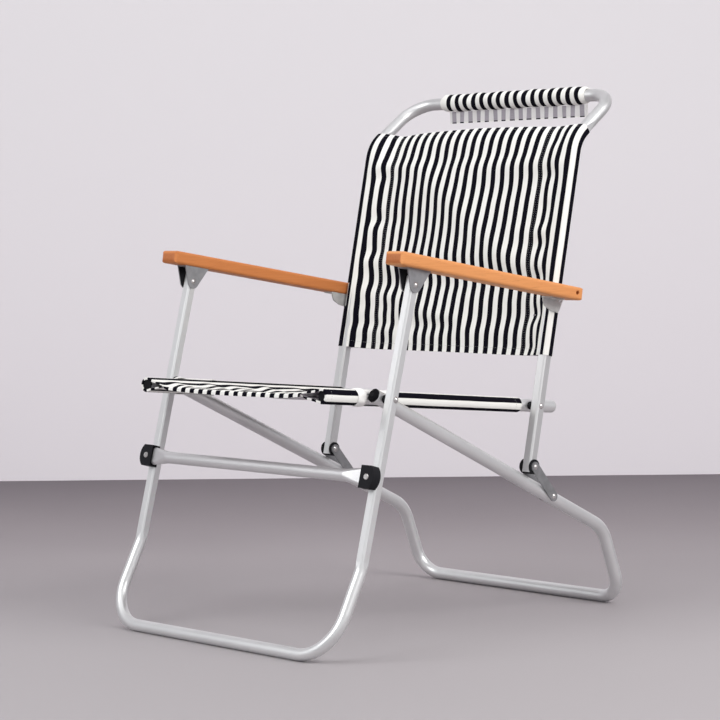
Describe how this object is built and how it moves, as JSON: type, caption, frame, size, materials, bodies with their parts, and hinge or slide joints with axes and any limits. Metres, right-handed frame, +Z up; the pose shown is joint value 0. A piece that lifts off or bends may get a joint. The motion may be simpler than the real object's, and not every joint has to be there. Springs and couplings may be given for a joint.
{
  "type": "folding camp chair",
  "caption": "Folding camp armchair with a bent tube frame, striped sling seat and back, flat wooden armrests and a padded roll on the top bar.",
  "frame": {"origin": "on the floor, under the middle of the open chair's bounding box", "axes": "+Z up, the front of the chair faces -Y, +X to the viewer's right when looking along +Y at the front"},
  "size_m": [0.579, 0.7593, 0.9096],
  "materials": {
    "tube_aluminium": "satin anodised tube",
    "bracket_steel": "grey zinc plate",
    "rivet_steel": "plated rivet and screw heads",
    "black_plastic": "fine matt moulding",
    "striped_canvas": "cotton canvas with narrow black and off-white stripes",
    "oiled_wood": "oiled hardwood with rounded edges"
  },
  "bodies": {
    "seat": {"seat_rail_left": "tube_aluminium", "seat_rail_right": "tube_aluminium", "rail_rear_caps": "tube_aluminium", "rail_front_plugs": "black_plastic", "seat_fabric": "striped_canvas", "main_pivot_rivets": "rivet_steel", "main_inner_spacers": "black_plastic", "main_outer_spacers": "black_plastic", "seat_back_rivets": "rivet_steel", "seat_back_spacers": "black_plastic"},
    "front_leg": {"front_leg_frame": "tube_aluminium", "stretcher": "tube_aluminium", "stretcher_caps": "black_plastic", "stretcher_rivets": "rivet_steel"},
    "rear_leg": {"rear_leg_frame": "tube_aluminium", "rear_leg_plugs": "black_plastic"},
    "back": {"back_frame": "tube_aluminium", "back_end_caps": "black_plastic", "back_fabric": "striped_canvas", "head_roll": "striped_canvas", "head_roll_flap": "striped_canvas", "link_pivot_rivets": "rivet_steel"},
    "armrest_left": {"armrest_left": "oiled_wood", "front_bracket_left": "bracket_steel", "rear_bracket_left": "bracket_steel", "arm_screws_left": "rivet_steel", "arm_front_rivet_left": "rivet_steel", "arm_rear_rivet_left": "rivet_steel", "arm_rear_spacer_left": "black_plastic"},
    "armrest_right": {"armrest_right": "oiled_wood", "front_bracket_right": "bracket_steel", "rear_bracket_right": "bracket_steel", "arm_screws_right": "rivet_steel", "arm_front_rivet_right": "rivet_steel", "arm_rear_rivet_right": "rivet_steel", "arm_rear_spacer_right": "black_plastic"},
    "link_left": {"link_plates_left": "bracket_steel", "link_end_rivets_left": "rivet_steel"},
    "link_right": {"link_plates_right": "bracket_steel", "link_end_rivets_right": "rivet_steel"}
  },
  "joints": [
    {"name": "back_fold", "type": "hinge", "parent": "seat", "child": "back", "pos_m": [0, 0.1449, 0.3646], "axis": [1, 0, 0], "range_deg": [0, 70]},
    {"name": "front_leg_fold", "type": "hinge", "parent": "seat", "child": "front_leg", "pos_m": [0, -0.2295, 0.4], "axis": [1, 0, 0], "range_deg": [0, 70]},
    {"name": "rear_leg_fold", "type": "hinge", "parent": "seat", "child": "rear_leg", "pos_m": [0, -0.2295, 0.4], "axis": [1, 0, 0], "range_deg": [0, 6.16]},
    {"name": "armrest_left_fold", "type": "hinge", "parent": "front_leg", "child": "armrest_left", "pos_m": [-0.271, -0.1844, 0.5775], "axis": [1, 0, 0], "range_deg": [-70, 0]},
    {"name": "armrest_right_fold", "type": "hinge", "parent": "front_leg", "child": "armrest_right", "pos_m": [0.271, -0.1844, 0.5775], "axis": [1, 0, 0], "range_deg": [-70, 0]},
    {"name": "link_left_fold", "type": "hinge", "parent": "back", "child": "link_left", "pos_m": [-0.241, 0.12424, 0.264], "axis": [1, 0, 0], "range_deg": [-148.35, 0]},
    {"name": "link_right_fold", "type": "hinge", "parent": "back", "child": "link_right", "pos_m": [0.241, 0.12424, 0.264], "axis": [1, 0, 0], "range_deg": [-148.35, 0]}
  ],
  "couplings": [
    {"joint": "front_leg_fold", "follows": "back_fold", "ratio": 1},
    {"joint": "rear_leg_fold", "follows": "back_fold", "ratio": 0.08782},
    {"joint": "armrest_left_fold", "follows": "back_fold", "ratio": -1},
    {"joint": "armrest_right_fold", "follows": "back_fold", "ratio": -1},
    {"joint": "link_left_fold", "follows": "back_fold", "ratio": -2.1191},
    {"joint": "link_right_fold", "follows": "back_fold", "ratio": -2.1191}
  ]
}
